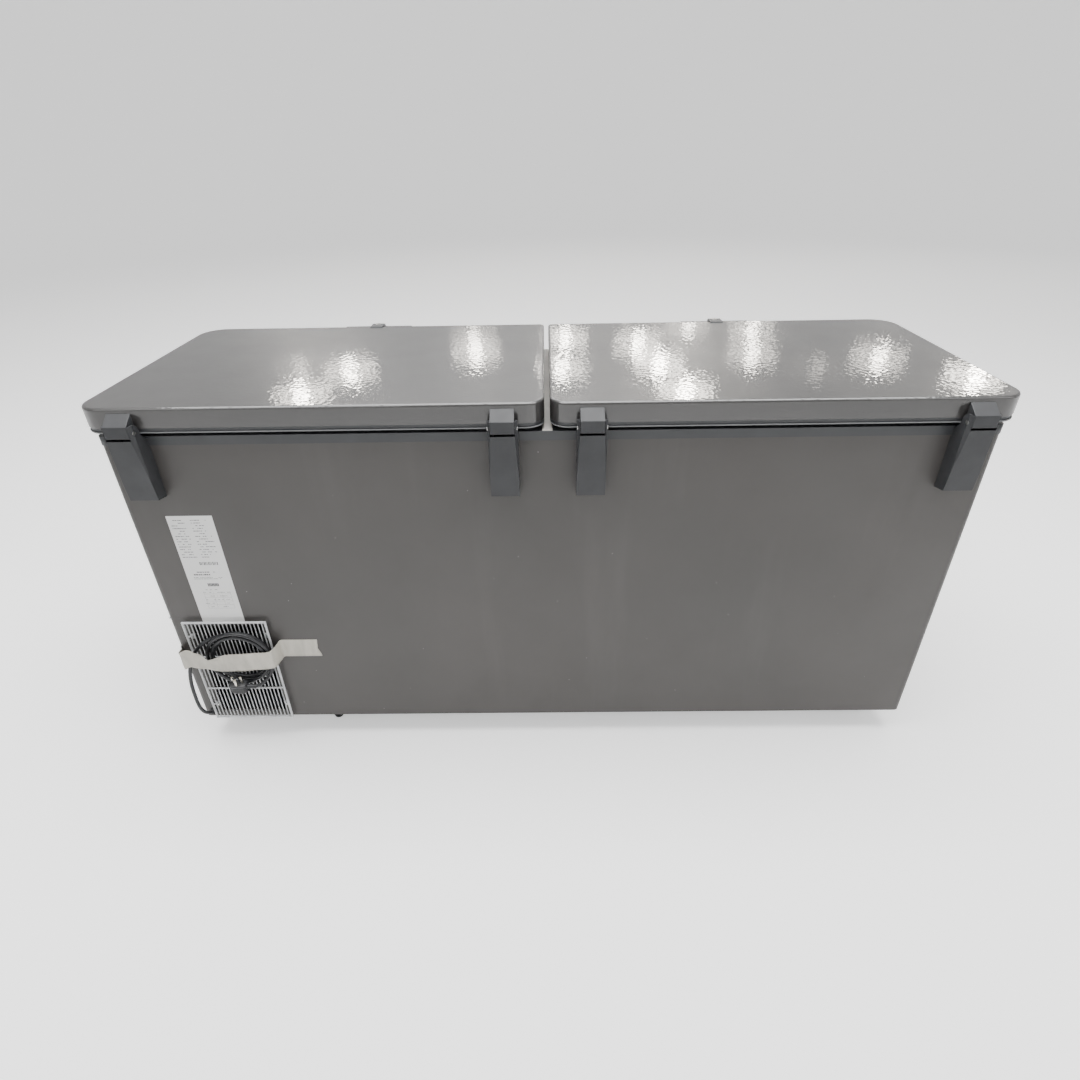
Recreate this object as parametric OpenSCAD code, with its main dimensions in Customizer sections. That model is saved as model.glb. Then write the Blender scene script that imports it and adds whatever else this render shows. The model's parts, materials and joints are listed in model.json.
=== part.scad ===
// Chest freezer with two top-hinged lids. Millimetres, +Z up, origin on the floor
// under the centre. The front (handles) faces -Y, the hinges face +Y, and the
// machine compartment is at the +X end.

/* [Cabinet] */
// Outer width of the cabinet
body_w = 1660; // [1500:10:1800]
// Outer depth of the cabinet
body_d = 535; // [520:5:600]
// Cabinet height, underside to the top of the collar
body_h = 720; // [700:5:800]
// Height of the castors under the cabinet
castor_h = 65; // [65:1:65]
// Insulated wall thickness
wall = 68; // [60:1:75]
// Thickness of the sheet steel skin
skin = 1; // [0.8:0.1:1.5]
// Radius of the cabinet's upright corners
corner_r = 12; // [8:1:20]
// Height of the plastic collar round the top
collar_h = 18; // [14:1:24]

/* [Machine compartment] */
// Width of the machine compartment
machine_w = 229; // [225:1:240]
// Height of the machine compartment
machine_h = 295; // [295:1:310]

/* [Lids] */
// How far each lid reaches past the cabinet
overhang = 17; // [14:1:18]
// Gap between the two lids
lid_gap = 10; // [8:1:20]
// Height of the steel cover of a lid
cover_h = 38; // [34:1:44]
// Height of the plastic rim under the cover
rim_h = 10; // [8:1:12]
// Height of the gasket under the rim
gasket_h = 11; // [9:1:13]
// Radius of a lid's outer front corner
lid_r_front = 55; // [45:5:90]
// Radius of a lid's outer rear corner
lid_r_rear = 45; // [40:5:60]
// Radius of a lid's inner rear corner
lid_r_inner = 35; // [30:1:40]
// Radius of a lid's inner front corner
lid_r_gap = 12; // [9:1:14]

/* [Hinges] */
// Distance of the outer hinges from the middle
hinge_outer_x = 764; // [740:1:780]
// Distance of the inner hinges from the middle
hinge_inner_x = 80; // [70:1:110]
// Distance of the hinge pins behind the rear wall
pin_out = 31; // [31:1:31]
// Radius of the hinge pins
pin_r = 4; // [3:0.5:5]

/* [Rear grille] */
// Width of the wire grille, between the centres of its side wires
grille_w = 180; // [170:1:190]
// Height of the wire grille, between its top and bottom wires
grille_h = 285; // [270:1:290]
// Number of upright wires
grille_wires = 20; // [14:1:22]

/* [Mains lead] */
// Diameter of the lead
cord_d = 8; // [7:0.5:9]
// Outer radius of the coil
coil_r = 75; // [70:1:80]
// Width of the coil's band
coil_band = 22; // [18:1:26]
// Thickness of the coil
coil_t = 18; // [16:1:20]

/* [Castors] */
// Radius of a wheel
wheel_r = 25; // [24:1:25]
// Width of a wheel
wheel_w = 18; // [14:1:18]
// How far the wheel trails behind its swivel
trail = 18; // [14:1:20]

/* [Hidden] */
$fn = 48;

// Cabinet faces
half_w = body_w / 2;
rear_y = 267;
front_y = rear_y - body_d;
base_z = castor_h;
top_z = base_z + body_h;
skin_top = top_z - 2;
collar_t = 1.5;
// Half the width of a hairline seam between two solids
seam = 0.1;

// Storage space: a deep part, and a shallow part over the machine compartment
cav_x = half_w - wall;
cav_front = front_y + wall;
cav_rear = rear_y - wall;
cav_floor = base_z + 70;
step_z = base_z + machine_h + 60;
machine_x = half_w - skin - machine_w;
machine_top = base_z + machine_h;
deep_x = machine_x - 60;
cav_r = 20;
mullion_x = 48;

// Lids
lid_x0 = lid_gap / 2;
lid_x1 = half_w + overhang;
lid_rear = rear_y + overhang - 1;
lid_front = front_y - overhang;
rim_z = top_z + gasket_h;
cover_z = rim_z + rim_h;
lid_top = cover_z + cover_h;
pin_y = rear_y + pin_out;
pin_z = base_z + 738;
edge_r = 5;
handle_x = 420;
lock_y = lid_front - 12;

// Machine compartment layout, all about one upright plane
plant_x = 712;
comp_y = -10;
comp_z = base_z + 2;
fan_y = -150;
fan_z = 200;
cond_y = -205;
vent_z0 = 105;
vent_z1 = 262;
knob_at = [660, front_y - 6, 302];
drain_at = [-650, -120];

// Rear grille
grille_x = 706.5;
grille_z0 = base_z + 5.5;
grille_y = rear_y + 9.5;
hole_margin = 14;
tab_inset = 40;
tab_hole = 8;

// Mains lead: the gland, the route of the loose stretch, the coil and the plug
gland = [806, rear_y, base_z + 18];
coil_at = [685, rear_y + 14.3, base_z + 202];
lead_route = [
  [806, 274, 84], [806, 284, 92], [807, 293, 102], [808, 300, 114], [808.5, 305, 130],
  [808, 308, 150], [807, 309, 172], [806, 309, 194], [804, 308, 216], [799, 306.5, 242],
  [791, 304, 268], [778, 300, 291], [761, 294, 308], [743, 287, 318]
];
tail_route = [[622, 295, 234], [629, 299, 223], [638, 305, 213], [649, 311, 206], [661, 314, 204]];
tape_w = 48;
tape_t = 0.6;
tape_route = [
  [513, 267.3, 275], [560, 267.3, 275], [596, 267.3, 275], [602, 281, 274],
  [607, 294, 271.5], [616, 301, 269.5], [650, 301.5, 267], [686, 301.5, 264],
  [730, 301.5, 262],
  [752, 305, 272], [768, 313, 283], [785, 315, 288], [800, 314, 281], [808, 300, 272],
  [816, 282, 264], [822, 269.5, 259], [827, 264.6, 256], [830.2, 258, 254],
  [830.6, 248, 252], [830.4, 225, 250]
];
plug_at = [697, rear_y + 47, base_z + 148];

// ---------------------------------------------------------------- helpers

// Rectangle with rounded corners: exact arcs at the corners
module round_rect(x0, y0, x1, y1, r) {
  polygon([[x0 + r, y0], [x1 - r, y0], [x1, y0 + r], [x1, y1 - r],
           [x1 - r, y1], [x0 + r, y1], [x0, y1 - r], [x0, y0 + r]]);
  for (x = [x0 + r, x1 - r], y = [y0 + r, y1 - r]) translate([x, y]) circle(r);
}

module box(a, b) {
  translate(a) cube(b - a);
}

module rod(a, b, r) {
  v = b - a;
  l = norm(v);
  translate(a) rotate([0, acos(v[2] / l), atan2(v[1], v[0])]) cylinder(r = r, h = l);
}

// Rods joined end to end along a list of points
module pipe(points, r) {
  for (i = [0 : len(points) - 2]) rod(points[i], points[i + 1], r);
  for (i = [1 : len(points) - 2]) translate(points[i]) sphere(r);
}

// Rods joined end to end round a closed loop, with a ball at each corner
module pipe_loop(points, r, ball_r) {
  n = len(points);
  for (i = [0 : n - 1]) {
    rod(points[i], points[(i + 1) % n], r);
    translate(points[i]) sphere(ball_r);
  }
}

// A shape drawn in Y and Z, extruded along X between x0 and x1
module side_profile(points, x0, x1) {
  translate([x0, 0, 0]) rotate([90, 0, 90]) linear_extrude(x1 - x0) polygon(points);
}

// Mirrors its child to the left-hand side when side is -1
module on_side(side) {
  if (side < 0) mirror([1, 0, 0]) children();
  else children();
}

// ---------------------------------------------------------------- cabinet

module body_outline(inset) {
  round_rect(-half_w + inset, front_y + inset, half_w - inset, rear_y - inset,
             corner_r - inset);
}

// Hairline seams that split a ring of walls into a front, a rear and two ends
module seams(at_x) {
  for (x = [-1, 1] * at_x)
    box([x - seam, front_y - 5, base_z - 1], [x + seam, rear_y + 5, top_z + 1]);
}

module outer_shell() {
  color([0.4, 0.39, 0.375]) difference() {
    translate([0, 0, base_z]) linear_extrude(skin_top - base_z) difference() {
      body_outline(0);
      body_outline(skin);
    }
    seams(half_w - corner_r);
    box([grille_x - grille_w / 2 + hole_margin, rear_y - 5, grille_z0 + hole_margin],
        [grille_x + grille_w / 2 - hole_margin, rear_y + 5, grille_z0 + grille_h - hole_margin]);
    box([622, front_y - 5, vent_z0], [788, front_y + 5, 328]);
  }
}

module cavity(grow) {
  translate([0, 0, step_z - grow]) linear_extrude(top_z + 5 - step_z + grow)
    round_rect(-cav_x - grow, cav_front - grow, cav_x + grow, cav_rear + grow, cav_r + grow);
  translate([0, 0, cav_floor - grow]) linear_extrude(top_z + 5 - cav_floor + grow)
    round_rect(-cav_x - grow, cav_front - grow, deep_x + grow, cav_rear + grow, cav_r + grow);
}

module cabinet_foam() {
  color([0.93, 0.86, 0.6]) difference() {
    translate([0, 0, base_z + 2]) linear_extrude(skin_top - base_z - 2) body_outline(skin);
    cavity(skin);
    box([machine_x - 1, front_y - 5, base_z], [half_w + 5, rear_y + 5, machine_top + 1]);
    translate([drain_at[0], drain_at[1], base_z]) cylinder(r = 12, h = 80);
    foam_seams();
  }
}

// Hairline seams that split the foam into slabs and corner strips
module foam_seams() {
  x = cav_x + skin;
  y0 = cav_front - skin;
  y1 = cav_rear + skin;
  z = cav_floor - skin;
  for (at = [-x, x, deep_x + skin])
    box([at - seam, front_y, z], [at + seam, rear_y, top_z]);
  for (at = [y0, y1]) box([-x, at - seam, z], [x, at + seam, top_z]);
  box([-half_w, front_y, z - seam], [machine_x, rear_y, z + seam]);
  box([deep_x + skin, front_y, machine_top + 1], [x, rear_y, machine_top + 1 + 2 * seam]);
  box([deep_x + skin, y0, step_z - skin - seam], [x, y1, step_z - skin + seam]);
}

module inner_liner() {
  color([0.9, 0.91, 0.92]) difference() {
    intersection() {
      cavity(skin);
      box([-half_w, front_y, base_z], [half_w, rear_y, skin_top]);
    }
    cavity(0);
    translate([drain_at[0], drain_at[1], cav_floor - 10]) cylinder(r = 10.5, h = 20);
  }
}

// Plastic frame round the mouth: a skirt outside, a flat top and a skirt inside,
// made of four straight bars and four corner blocks
module top_collar() {
  color([0.27, 0.28, 0.29]) difference() {
    union() {
      difference() {
        translate([0, 0, top_z - collar_h]) linear_extrude(collar_h)
          round_rect(-half_w - collar_t, front_y - collar_t, half_w + collar_t,
                     rear_y + collar_t, corner_r + collar_t);
        translate([0, 0, base_z]) linear_extrude(skin_top - base_z) body_outline(0);
      }
      translate([0, 0, top_z - 15]) linear_extrude(14)
        round_rect(-cav_x, cav_front, cav_x, cav_rear, cav_r);
    }
    cavity(-collar_t);
    seams(cav_x - cav_r);
    for (y = [cav_front + cav_r, cav_rear - cav_r])
      box([-half_w - 5, y - seam, base_z], [half_w + 5, y + seam, top_z + 1]);
  }
}

// Bar across the middle that both lids close on, with a strip over the collar
module centre_mullion() {
  fit = collar_t + 0.2;
  color([0.85, 0.84, 0.8]) {
    box([-mullion_x + 6, cav_front + fit, top_z - 50], [mullion_x - 6, cav_rear - fit, top_z - 2]);
    box([-mullion_x, cav_front + fit, top_z - 2], [mullion_x, cav_rear - fit, top_z]);
    box([-9, front_y + 2, top_z], [9, rear_y + 1, top_z + 1.5]);
  }
}

module base_pan() {
  color([0.45, 0.46, 0.47]) difference() {
    translate([0, 0, base_z]) linear_extrude(2) body_outline(skin);
    translate([drain_at[0], drain_at[1], base_z - 1]) cylinder(r = 11, h = 5);
    for (y = [-120 : 30 : 120]) box([machine_x + 30, y + 70, base_z - 1],
                                    [machine_x + 60, y + 78, base_z + 3]);
  }
}

// Sheet that lines the foam above and beside the machine compartment
module machine_panel() {
  color([0.7, 0.71, 0.72]) {
    box([machine_x - 1, front_y + skin, base_z + 2], [machine_x, rear_y - skin, machine_top]);
    box([machine_x - 1, front_y + skin, machine_top + 0.01],
        [half_w - skin, rear_y - skin, machine_top + 1]);
  }
}

module evaporator_tube() {
  r = 4;
  out = skin + r + 1.2;
  low = [for (z = [cav_floor + 65 : 90 : step_z - 60]) [z, deep_x]];
  high = [for (z = [step_z + 50 : 90 : top_z - 60]) [z, cav_x]];
  loops = concat(low, high);
  color([0.72, 0.45, 0.3]) for (l = loops) {
    z = l[0];
    a = [-cav_x - out, cav_front - out, z];
    b = [l[1] + out, cav_front - out, z];
    c = [l[1] + out, cav_rear + out, z];
    d = [-cav_x - out, cav_rear + out, z];
    pipe_loop([a, b, c, d], r, r + 0.3);
  }
}

// ---------------------------------------------------------------- rear face

module rear_grille() {
  x0 = grille_x - grille_w / 2;
  x1 = grille_x + grille_w / 2;
  z0 = grille_z0;
  z1 = grille_z0 + grille_h;
  pitch = grille_w / (grille_wires + 1);
  color([0.92, 0.92, 0.93]) {
    pipe_loop([[x0, grille_y, z0], [x1, grille_y, z0], [x1, grille_y, z1], [x0, grille_y, z1]],
              2.5, 2.7);
    for (i = [1 : grille_wires])
      rod([x0 + i * pitch, grille_y - 0.8, z0], [x0 + i * pitch, grille_y - 0.8, z1], 1.1);
    for (i = [1, 2])
      rod([x0, grille_y + 2, z0 + i * grille_h / 3], [x1, grille_y + 2, z0 + i * grille_h / 3], 2);
    for (x = [x0, x1], z = [z0 + tab_inset, z1 - tab_inset]) {
      tab_x = x == x0 ? x + tab_hole : x - tab_hole;
      rod([tab_x, rear_y + 1.6, z], [x, grille_y, z], 2.2);
      difference() {
        box([tab_x - 5, rear_y, z - 10], [tab_x + 5, rear_y + 1.5, z + 3]);
        translate([tab_x, rear_y - 1, z - 6]) rotate([-90, 0, 0]) cylinder(r = 1.8, h = 5);
      }
    }
  }
}

module screw(at, shank_r, head_r, head_h, l) {
  translate(at) rotate([90, 0, 0]) {
    translate([0, 0, -head_h]) cylinder(r = head_r, h = head_h);
    cylinder(r = shank_r, h = l);
  }
}

module fixing_screws() {
  x0 = grille_x - grille_w / 2;
  x1 = grille_x + grille_w / 2;
  color([0.6, 0.6, 0.62]) {
    for (x = [x0 + tab_hole, x1 - tab_hole],
         z = [grille_z0 + tab_inset, grille_z0 + grille_h - tab_inset])
      screw([x, rear_y + 1.5, z - 6], 1.7, 3, 2, 12);
    at_hinges() for (z = [base_z + 630, base_z + 680])
      screw([0, rear_y + 2, z], 2.4, 4.5, 3, 14);
  }
}

module rating_label() {
  color([0.9, 0.9, 0.9]) box([664, rear_y, base_z + 284], [756, rear_y + 0.2, base_z + 551]);
}

// Side outline of a hinge housing, in Y and Z
function housing_side() = concat(
  [[rear_y, base_z + 596], [rear_y + 30, base_z + 602], [rear_y + 42, base_z + 727],
   [rear_y + 42, base_z + 751], [rear_y + 40.5, pin_z + 14.5]],
  [for (a = [90 : 10 : 180]) [pin_y + 14.5 * cos(a), pin_z + 14.5 * sin(a)]],
  [[rear_y + 16.5, base_z + 730], [rear_y + 2, base_z + 716], [rear_y + 2, base_z + 700],
   [rear_y, base_z + 700]]);

module hinge_housing() {
  difference() {
    intersection() {
      side_profile(housing_side(), -28, 28);
      translate([0, 0, base_z + 590]) linear_extrude(200)
        polygon([[-27, rear_y - 1], [27, rear_y - 1], [27, rear_y + 33], [21.5, rear_y + 43],
                 [-21.5, rear_y + 43], [-27, rear_y + 33]]);
    }
    side_profile([[rear_y + 2, base_z + 604], [rear_y + 28, base_z + 606],
                  [rear_y + 39.8, base_z + 727], [rear_y + 44, base_z + 727],
                  [rear_y + 44, base_z + 760], [rear_y - 2, base_z + 760],
                  [rear_y - 2, base_z + 701], [rear_y + 2, base_z + 699]], -18.5, 18.5);
    side_profile([[rear_y + 44, base_z + 727], [rear_y + 44, base_z + 760],
                  [rear_y - 2, base_z + 760], [rear_y - 2, base_z + 712]], -22.3, 22.3);
    for (z = [base_z + 630, base_z + 680])
      translate([0, rear_y - 1, z]) rotate([-90, 0, 0]) cylinder(r = 2.6, h = 5);
    translate([-40, pin_y, pin_z]) rotate([0, 90, 0]) cylinder(r = pin_r, h = 80);
  }
}

module at_hinges() {
  for (x = [-hinge_outer_x, -hinge_inner_x, hinge_inner_x, hinge_outer_x])
    translate([x, 0, 0]) children();
}

module hinge_housings() {
  color([0.3, 0.315, 0.33]) at_hinges() hinge_housing();
}

module hinge_pins() {
  color([0.7, 0.71, 0.72]) at_hinges()
    translate([-27, pin_y, pin_z]) rotate([0, 90, 0]) cylinder(r = pin_r, h = 54);
}

// Torsion springs round the hinge pins, drawn as closed coils
module hinge_springs() {
  wire = 1.2;
  pitch = 2.3;
  turns = 9;
  color([0.55, 0.55, 0.57]) at_hinges() translate([0, pin_y, pin_z]) rotate([0, 90, 0])
    rotate_extrude() for (i = [0 : turns - 1])
      translate([6.2, (i - (turns - 1) / 2) * pitch]) circle(wire, $fn = 24);
}

// ---------------------------------------------------------------- mains lead

// Tube swept along a list of points
function tangent(p, i) =
  let (a = p[max(i - 1, 0)], b = p[min(i + 1, len(p) - 1)]) (b - a) / norm(b - a);
function side_of(t) = let (s = cross(t, [0.31, 0.2, 0.93])) s / norm(s);
function ring(p, i, r, n) =
  let (t = tangent(p, i), s = side_of(t), u = cross(s, t))
  [for (k = [0 : n - 1]) p[i] + r * (cos(360 * k / n) * s + sin(360 * k / n) * u)];
// A point on the smooth curve through the route, between points i and i + 1
function spline(p, i, f) =
  let (n = len(p) - 1, a = p[max(i - 1, 0)], b = p[i], c = p[min(i + 1, n)], d = p[min(i + 2, n)])
  0.5 * (2 * b + (c - a) * f + (2 * a - 5 * b + 4 * c - d) * f * f
         + (3 * b - a - 3 * c + d) * f * f * f);
function smooth(p, steps) = concat(
  [for (i = [0 : len(p) - 2], k = [0 : steps - 1]) spline(p, i, k / steps)],
  [p[len(p) - 1]]);

module sweep(points, r, n) {
  rings = len(points);
  verts = [for (i = [0 : rings - 1]) each ring(points, i, r, n)];
  sides = [for (i = [0 : rings - 2], k = [0 : n - 1])
    [i * n + k, i * n + (k + 1) % n, (i + 1) * n + (k + 1) % n, (i + 1) * n + k]];
  first = [[for (k = [n - 1 : -1 : 0]) k]];
  last = [[for (k = [0 : n - 1]) (rings - 1) * n + k]];
  polyhedron(verts, concat(sides, first, last), convexity = 6);
}

module cord_gland() {
  color([0.1, 0.1, 0.1]) translate(gland) {
    rotate([-90, 0, 0]) cylinder(r = 9, h = 4);
    translate([0, 2, -3]) rotate([-51, 0, 0]) cylinder(r1 = 6.5, r2 = 5, h = 12);
  }
}

module cord_lead() {
  color([0.08, 0.08, 0.08]) {
    sweep(smooth(lead_route, 2), cord_d / 2, 10);
    sweep(smooth(tail_route, 2), cord_d / 2, 10);
  }
}

module cord_coil() {
  color([0.1, 0.1, 0.1]) translate(coil_at) rotate([-90, 0, 0]) rotate_extrude($fn = 72)
    translate([coil_r - coil_band, 0]) square([coil_band, coil_t]);
}

// Packing tape that holds the coil: stuck to the wall at both ends
module cord_tape() {
  p = tape_route;
  n = len(p);
  verts = [for (i = [0 : n - 1])
    let (a = p[max(i - 1, 0)], b = p[min(i + 1, n - 1)],
         d = [b[0] - a[0], b[1] - a[1], 0] / norm([b[0] - a[0], b[1] - a[1], 0]),
         out = [-d[1], d[0], 0] * tape_t / 2, up = [0, 0, tape_w / 2])
    each [p[i] - out - up, p[i] + out - up, p[i] + out + up, p[i] - out + up]];
  sides = [for (i = [0 : n - 2], k = [0 : 3])
    [i * 4 + k, (i + 1) * 4 + k, (i + 1) * 4 + (k + 1) % 4, i * 4 + (k + 1) % 4]];
  color([0.75, 0.73, 0.68])
    polyhedron(verts, concat(sides, [[0, 1, 2, 3], [n * 4 - 1, n * 4 - 2, n * 4 - 3, n * 4 - 4]]),
               convexity = 6);
}

module at_plug() {
  translate(plug_at) rotate([-8, 0, 0]) children();
}

module plug_body() {
  color([0.1, 0.1, 0.1]) at_plug() {
    translate([0, 0, -26]) linear_extrude(26) round_rect(-20, -11, 20, 11, 9);
    translate([-18, 0, -10]) rotate([0, -90, 0]) cylinder(r = 5.5, h = 19);
  }
}

module plug_pins() {
  color([0.75, 0.72, 0.6]) at_plug() for (p = [[9.5, -3, 2.5], [-9.5, -3, 2.5], [0, 5.5, 3.2]])
    translate([p[0], p[1], 0]) cylinder(r = p[2], h = 17);
}

// ---------------------------------------------------------------- machine compartment

module compressor() {
  color([0.06, 0.06, 0.07]) translate([plant_x, comp_y, comp_z + 18]) {
    difference() {
      union() {
        translate([0, 0, 12]) cylinder(r = 74, h = 120);
        translate([0, 0, 132]) intersection() {
          translate([0, 0, -70]) sphere(r = 101, $fn = 64);
          cylinder(r = 74, h = 60);
        }
      }
      translate([0, 0, 18]) cylinder(r = 66, h = 110);
    }
    translate([0, 0, 6]) cylinder(r = 60, h = 6.5);
    difference() {
      box([-88, -70, 3], [88, 70, 6.01]);
      for (x = [-76, 76], y = [-58, 58]) translate([x, y, 0]) cylinder(r = 8.2, h = 10);
    }
    box([-32, 74.5, 40], [32, 104, 100]);
  }
}

module compressor_grommets() {
  color([0.15, 0.15, 0.15]) for (x = [-76, 76], y = [-58, 58])
    translate([plant_x + x, comp_y + y, comp_z]) {
      cylinder(r = 12, h = 21);
      cylinder(r = 8, h = 27);
      translate([0, 0, 27]) cylinder(r = 5, h = 4);
    }
}

module condenser() {
  color([0.75, 0.76, 0.77]) {
    for (z = [95 : 25 : 295], y = [-12, 12])
      rod([622, cond_y + y, z], [802, cond_y + y, z], 4, $fn = 24);
    for (x = [626 : 12 : 794]) box([x, cond_y - 24, 82], [x + 1.2, cond_y + 24, 308]);
    for (x = [622, 800]) box([x, cond_y - 26, base_z + 2], [x + 2, cond_y + 26, 310]);
  }
}

module fan_shroud() {
  color([0.2, 0.2, 0.2]) difference() {
    union() {
      box([616, fan_y - 10, base_z + 2], [808, fan_y - 7, 310]);
      translate([plant_x, fan_y - 7.5, fan_z]) rotate([-90, 0, 0]) difference() {
        cylinder(r = 92, h = 33);
        translate([0, 0, -1]) cylinder(r = 89, h = 40);
      }
      for (a = [45, 135]) translate([plant_x, fan_y + 21, fan_z]) rotate([0, a, 0])
        cube([6, 5, 181], center = true);
    }
    translate([plant_x, fan_y - 20, fan_z]) rotate([-90, 0, 0]) cylinder(r = 86, h = 20);
    translate([plant_x, fan_y + 5, fan_z]) rotate([-90, 0, 0]) cylinder(r = 22, h = 20);
  }
}

module fan_motor() {
  color([0.35, 0.35, 0.37]) translate([plant_x, fan_y + 7, fan_z]) rotate([-90, 0, 0])
    difference() {
      cylinder(r = 22, h = 32);
      translate([0, 0, -1]) cylinder(r = 3.05, h = 13);
    }
}

module fan_blade() {
  color([0.85, 0.85, 0.87]) translate([plant_x, fan_y, fan_z]) rotate([-90, 0, 0]) {
    translate([0, 0, -6]) cylinder(r = 20, h = 12);
    translate([0, 0, 0]) cylinder(r = 3, h = 16);
    for (a = [0 : 72 : 359]) rotate([0, 0, a]) rotate([28, 0, 0])
      translate([16, -18, -0.8]) linear_extrude(1.6)
        polygon([[0, 10], [10, 4], [50, 0], [60, 4], [64, 16], [60, 30], [45, 34], [10, 26], [0, 24]]);
  }
}

module filter_drier() {
  color([0.72, 0.45, 0.3]) {
    rod([650, 150, 150], [650, 150, 235], 11);
    rod([650, 150, 138], [650, 150, 247], 5);
  }
}

// Suction, discharge, liquid and capillary tubes, each bent square for clarity
module refrigerant_lines() {
  top = comp_z + 150;
  color([0.72, 0.45, 0.3]) {
    pipe([[plant_x - 40, comp_y, top], [plant_x - 40, comp_y, 300], [plant_x - 40, 110, 300],
          [570, 110, 300]], 4, $fn = 24);
    pipe([[plant_x + 40, comp_y, top], [plant_x + 40, comp_y, 325], [plant_x + 40, cond_y, 325],
          [plant_x + 40, cond_y, 300]], 3, $fn = 24);
    pipe([[650, 150, 240], [650, 150, 270], [650, 200, 270], [570, 200, 270]], 2, $fn = 24);
    pipe([[618, cond_y + 12, 95], [618, 150, 95], [650, 150, 95], [650, 150, 145]], 3, $fn = 24);
  }
}

// ---------------------------------------------------------------- front

module front_panel() {
  x0 = 612;
  x1 = 798;
  color([0.16, 0.16, 0.17]) difference() {
    union() {
      translate([0, front_y, 0]) rotate([90, 0, 0]) linear_extrude(6)
        round_rect(x0, 95, x1, 340, 10);
      translate([0, front_y + 3, 0]) rotate([90, 0, 0]) linear_extrude(3.5) difference() {
        round_rect(622.5, vent_z0 + 0.5, 787.5, 327.5, 2);
        round_rect(624.5, vent_z0 + 2.5, 785.5, 325.5, 1);
      }
    }
    for (z = [vent_z0 + 6 : 13 : vent_z1 - 10])
      box([634, front_y - 8, z], [776, front_y + 2, z + 6]);
    translate([knob_at[0], front_y + 3, knob_at[2]]) rotate([90, 0, 0]) cylinder(r = 5, h = 12);
    for (x = [715, 740, 765]) translate([x, front_y + 3, knob_at[2]]) rotate([90, 0, 0])
      cylinder(r = 3.5, h = 12);
  }
}

module thermostat() {
  color([0.75, 0.75, 0.72]) difference() {
    union() {
      box([knob_at[0] - 24, front_y, knob_at[2] - 20],
          [knob_at[0] + 24, front_y + 28, knob_at[2] + 20]);
      translate([knob_at[0], front_y + 2, knob_at[2]]) rotate([90, 0, 0])
        cylinder(r = 4.9, h = 7.5);
    }
    translate([knob_at[0], front_y + 16, knob_at[2]]) rotate([90, 0, 0])
      cylinder(r = 3.05, h = 30);
  }
}

module thermostat_knob() {
  color([0.82, 0.83, 0.84]) translate(knob_at) rotate([90, 0, 0]) {
    translate([0, 0, 0.5]) cylinder(r = 19, h = 3);
    translate([0, 0, 3]) cylinder(r = 16, h = 11);
    translate([0, 0, -18]) cylinder(r = 3, h = 19);
    translate([-2.5, -15, 13]) cube([5, 30, 4]);
  }
}

module indicator_lamps() {
  lamps = [[715, "green"], [740, "red"], [765, "orange"]];
  for (l = lamps) color(l[1]) translate([l[0], front_y + 1, knob_at[2]]) rotate([90, 0, 0]) {
    cylinder(r = 3.5, h = 8);
    translate([0, 0, 7.5]) sphere(r = 3.2);
  }
}

module lock_keepers() {
  color([0.7, 0.71, 0.72]) for (x = [-1, 1] * handle_x) translate([x, 0, 0]) {
    box([-12, front_y - collar_t - 1.5, top_z - 34], [12, front_y - collar_t, top_z + 0.5]);
    box([-12, lid_front - 2, top_z - 1.5], [12, front_y - collar_t - 1.5 - 2 * seam, top_z + 0.5]);
  }
}

module drain_spout() {
  color([0.85, 0.85, 0.86]) translate([drain_at[0], drain_at[1], 0]) difference() {
    union() {
      translate([0, 0, base_z - 20]) cylinder(r = 11, h = 16);
      translate([0, 0, base_z - 5]) cylinder(r = 9.5, h = 8);
      translate([0, 0, base_z + 2]) cylinder(r = 12, h = cav_floor - skin - base_z - 2);
    }
    translate([0, 0, base_z - 25]) cylinder(r = 8, h = 75);
    translate([0, 0, base_z + 45]) cylinder(r = 10.5, h = 40);
  }
}

module drain_plug() {
  color([0.3, 0.32, 0.34]) translate([drain_at[0], drain_at[1], 0]) {
    translate([0, 0, cav_floor - 18]) cylinder(r = 10.2, h = 18.3);
    translate([0, 0, cav_floor + 0.2]) cylinder(r = 16, h = 3);
    box([-2, -10, cav_floor + 3], [2, 10, cav_floor + 11]);
  }
}

// ---------------------------------------------------------------- castors and feet

castor_x = 770;
castor_ys = [front_y + 62, rear_y - 62];

module castor_plates() {
  color([0.65, 0.66, 0.67]) for (x = [-1, 1] * castor_x, y = castor_ys) translate([x, y, 0])
    difference() {
      union() {
        box([-30, -30, base_z - 3], [30, 30, base_z]);
        translate([0, 0, 56]) cylinder(r = 17, h = base_z - 58);
      }
      translate([0, 0, 55]) cylinder(r = 4.05, h = 6.5);
      for (sx = [-23, 23], sy = [-23, 23]) translate([sx, sy, base_z - 4]) cylinder(r = 3, h = 5);
    }
}

module castor_fork(x, y) {
  color([0.65, 0.66, 0.67]) translate([x, y, 0]) {
    translate([0, 0, 52.5]) cylinder(r = 15, h = 3.2);
    translate([0, 0, 54]) cylinder(r = 4, h = 6.5);
    for (s = [-1, 1])
      side_profile([[12, 54], [10, 46], [-trail + 9, 18], [-trail - 8, 18], [-trail - 9, 30],
                    [-14, 54]], s * 11 - 1, s * 11 + 1);
    translate([-13, -trail, wheel_r]) rotate([0, 90, 0]) cylinder(r = 4, h = 26);
  }
}

module castor_wheel(x, y) {
  color([0.12, 0.12, 0.12]) translate([x - wheel_w / 2, y - trail, wheel_r]) rotate([0, 90, 0])
    difference() {
      union() {
        cylinder(r = wheel_r, h = wheel_w);
        translate([0, 0, -0.6]) cylinder(r = 9, h = wheel_w + 1.2);
      }
      translate([0, 0, -2]) cylinder(r = 4.06, h = wheel_w + 4);
      for (z = [-1, wheel_w - 2]) translate([0, 0, z]) difference() {
        cylinder(r = 18, h = 3);
        translate([0, 0, -1]) cylinder(r = 11, h = 5);
      }
    }
}

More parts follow.
